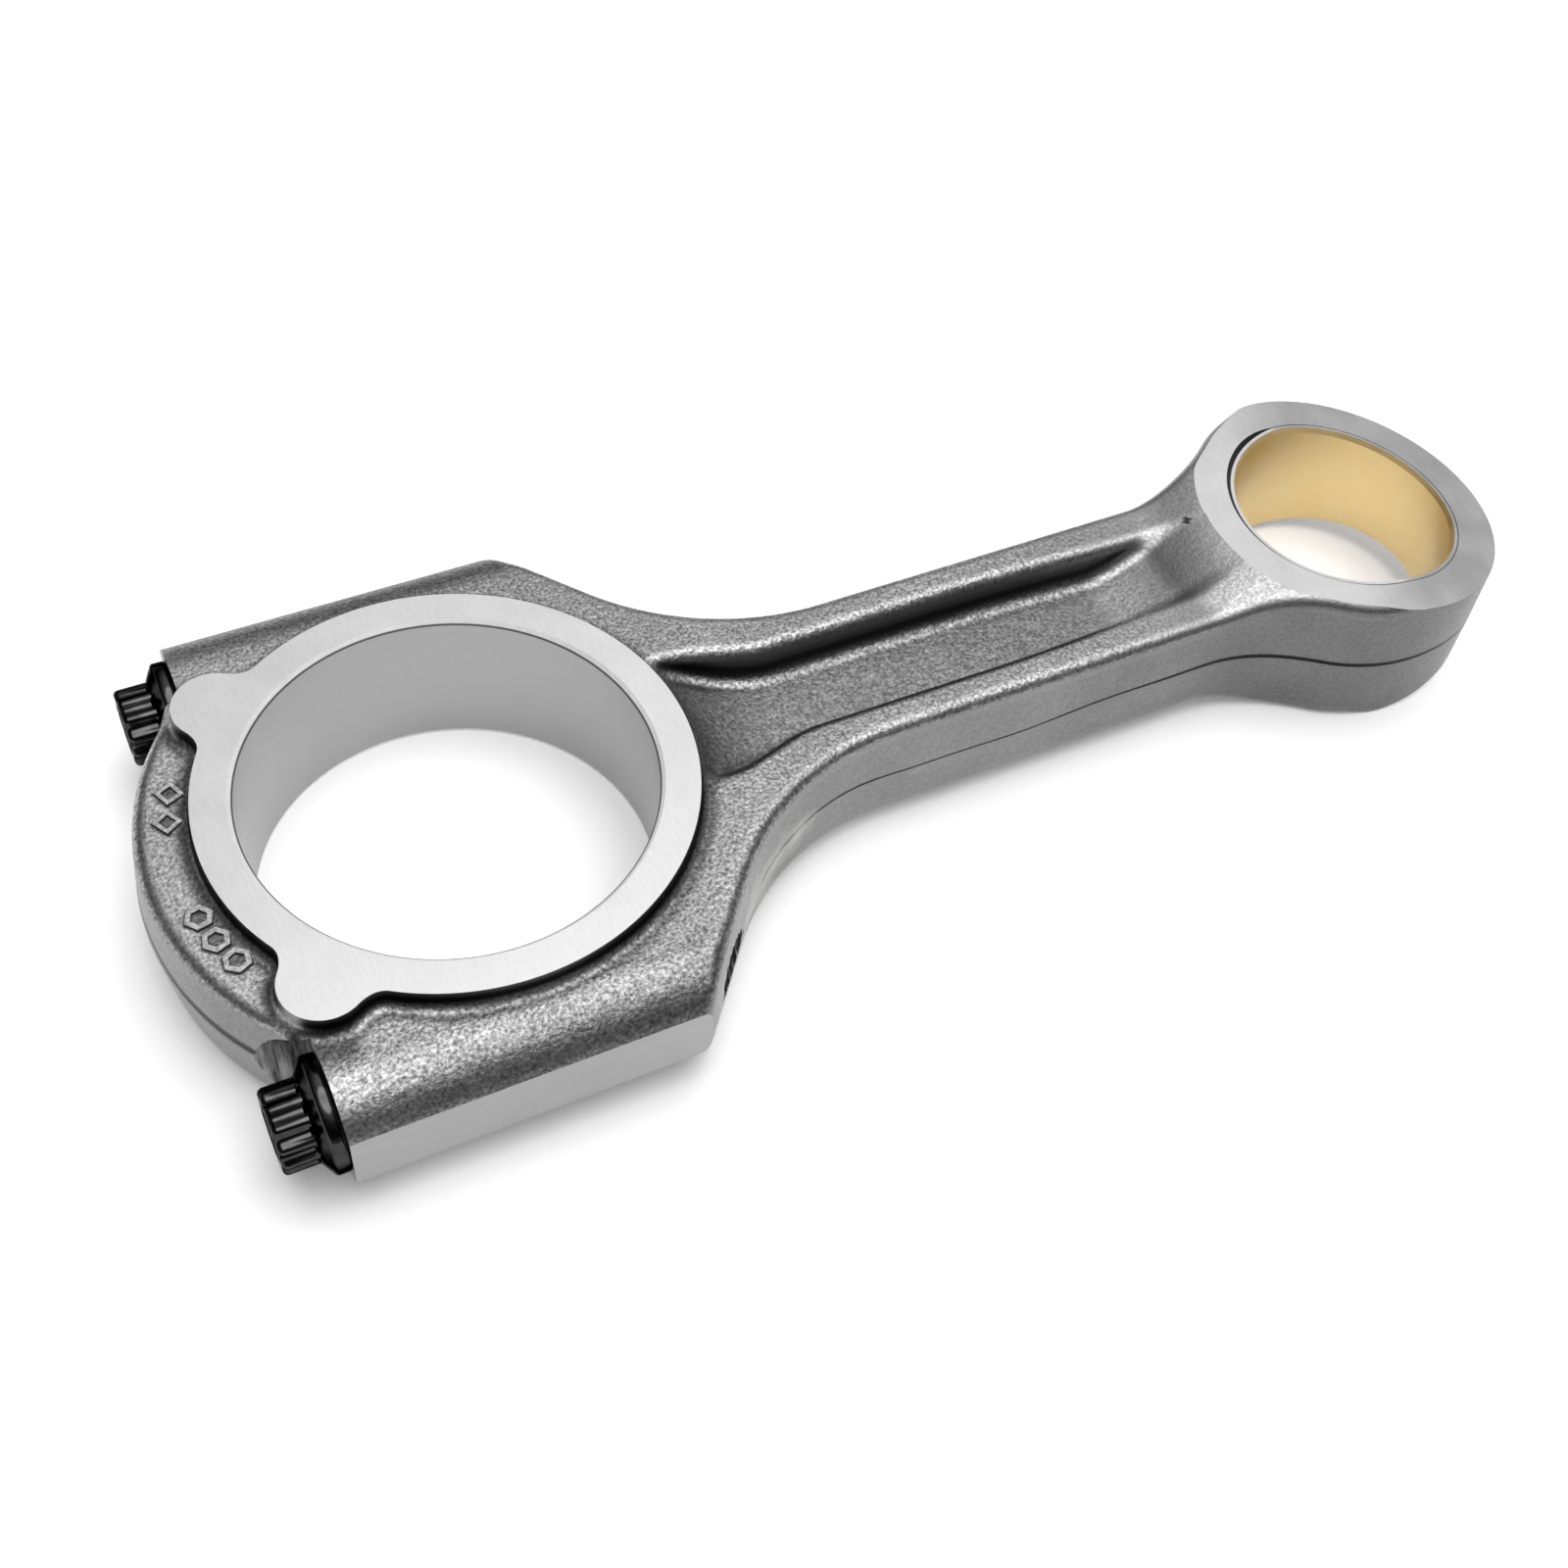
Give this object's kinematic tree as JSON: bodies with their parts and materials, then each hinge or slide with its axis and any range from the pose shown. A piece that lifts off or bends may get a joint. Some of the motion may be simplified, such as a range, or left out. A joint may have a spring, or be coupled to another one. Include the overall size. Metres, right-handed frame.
{
  "type": "connecting rod",
  "caption": "Forged diesel-engine connecting rod with an I-section shank, a bolted split big end and a bushed keystone small end.",
  "frame": {"origin": "centre of the big-end housing bore, half-way between its two machined faces", "axes": "+X from the big end to the small end, +Z along both bores, +Y across the rod"},
  "size_m": [0.2789, 0.111, 0.0316],
  "materials": {
    "forged_steel": "shot-blasted forged steel with finely ground faces",
    "black_bolt": "glossy black oxide",
    "bush_bronze": "fine-bored satin bronze lining on a steel back"
  },
  "bodies": {
    "rod": {"rod_body": "forged_steel", "small_end_bush": "bush_bronze"},
    "cap": {"bearing_cap": "forged_steel"},
    "bolt_left": {"cap_bolt_left": "black_bolt"},
    "bolt_right": {"cap_bolt_right": "black_bolt"}
  },
  "joints": [
    {"name": "cap_lift_off", "type": "slide", "parent": "rod", "child": "cap", "axis": [-1, 0, 0], "range_m": [0, 0.055]},
    {"name": "bolt_left_out", "type": "slide", "parent": "cap", "child": "bolt_left", "axis": [-1, 0, 0], "range_m": [0, 0.075]},
    {"name": "bolt_right_out", "type": "slide", "parent": "cap", "child": "bolt_right", "axis": [-1, 0, 0], "range_m": [0, 0.075]}
  ]
}
